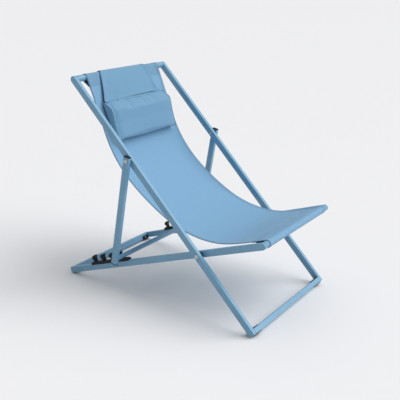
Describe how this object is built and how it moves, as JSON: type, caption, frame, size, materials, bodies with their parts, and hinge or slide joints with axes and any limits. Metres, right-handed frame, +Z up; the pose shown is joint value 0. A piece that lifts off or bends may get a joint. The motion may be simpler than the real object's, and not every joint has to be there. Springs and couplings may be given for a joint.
{
  "type": "folding sling deck chair",
  "caption": "Folding beach chair with scissor tube frames, a propped back on notched racks, a hung woven sling and a head pillow.",
  "frame": {"origin": "on the floor in the middle of the chair's footprint", "axes": "+Z up, the chair faces -Y, +X is the sitter's left"},
  "size_m": [0.606, 0.9175, 0.8369],
  "materials": {
    "painted_frame": "light blue satin powder coat on aluminium tube",
    "black_nylon": "black moulded nylon, fine satin",
    "zinc_steel": "zinc-plated steel",
    "woven_sling": "light blue coated-yarn weave, sewn hems",
    "pillow_fabric": "light blue coated-yarn weave over soft filling",
    "zip_tape": "blue zip tape with nylon teeth"
  },
  "bodies": {
    "seat_frame": {"seat_rail_left": "painted_frame", "seat_rail_right": "painted_frame", "front_bar": "painted_frame", "rear_floor_bar": "painted_frame", "rack_left": "black_nylon", "rack_right": "black_nylon", "rack_screws": "zinc_steel", "rear_foot_left": "black_nylon", "rear_foot_right": "black_nylon", "rear_foot_screws": "zinc_steel", "scissor_bolts": "zinc_steel", "scissor_nuts": "zinc_steel", "scissor_spacers": "black_nylon"},
    "back_frame": {"back_rail_left": "painted_frame", "back_rail_right": "painted_frame", "top_bar": "painted_frame", "front_floor_bar": "painted_frame", "front_foot_left": "black_nylon", "front_foot_right": "black_nylon", "front_foot_screws": "zinc_steel", "scissor_bushes": "black_nylon", "prop_bolts": "zinc_steel", "prop_nuts": "zinc_steel", "prop_washers": "black_nylon", "sling": "woven_sling", "headrest_flap": "woven_sling", "flap_weight": "zinc_steel"},
    "prop_frame": {"prop_leg_left": "painted_frame", "prop_leg_right": "painted_frame", "prop_bar": "painted_frame", "prop_top_caps": "black_nylon", "prop_lower_plugs": "black_nylon", "prop_bushes": "black_nylon"},
    "headrest": {"headrest_pillow": "pillow_fabric", "pillow_zip": "zip_tape"}
  },
  "joints": [
    {"name": "fold", "type": "hinge", "parent": "seat_frame", "child": "back_frame", "pos_m": [0, -0.19845, 0.25], "axis": [1, 0, 0], "range_deg": [0, 109], "deforming": ["sling"]},
    {"name": "prop_swing", "type": "hinge", "parent": "back_frame", "child": "prop_frame", "pos_m": [0, 0.1056, 0.55406], "axis": [1, 0, 0], "range_deg": [-51.22, 0]},
    {"name": "headrest_lift", "type": "hinge", "parent": "back_frame", "child": "headrest", "pos_m": [0, 0.37218, 0.82064], "axis": [-1, 0, 0], "range_deg": [0, 100], "deforming": ["headrest_flap"]}
  ],
  "couplings": [
    {"joint": "prop_swing", "follows": "fold", "ratio": -0.46995}
  ]
}
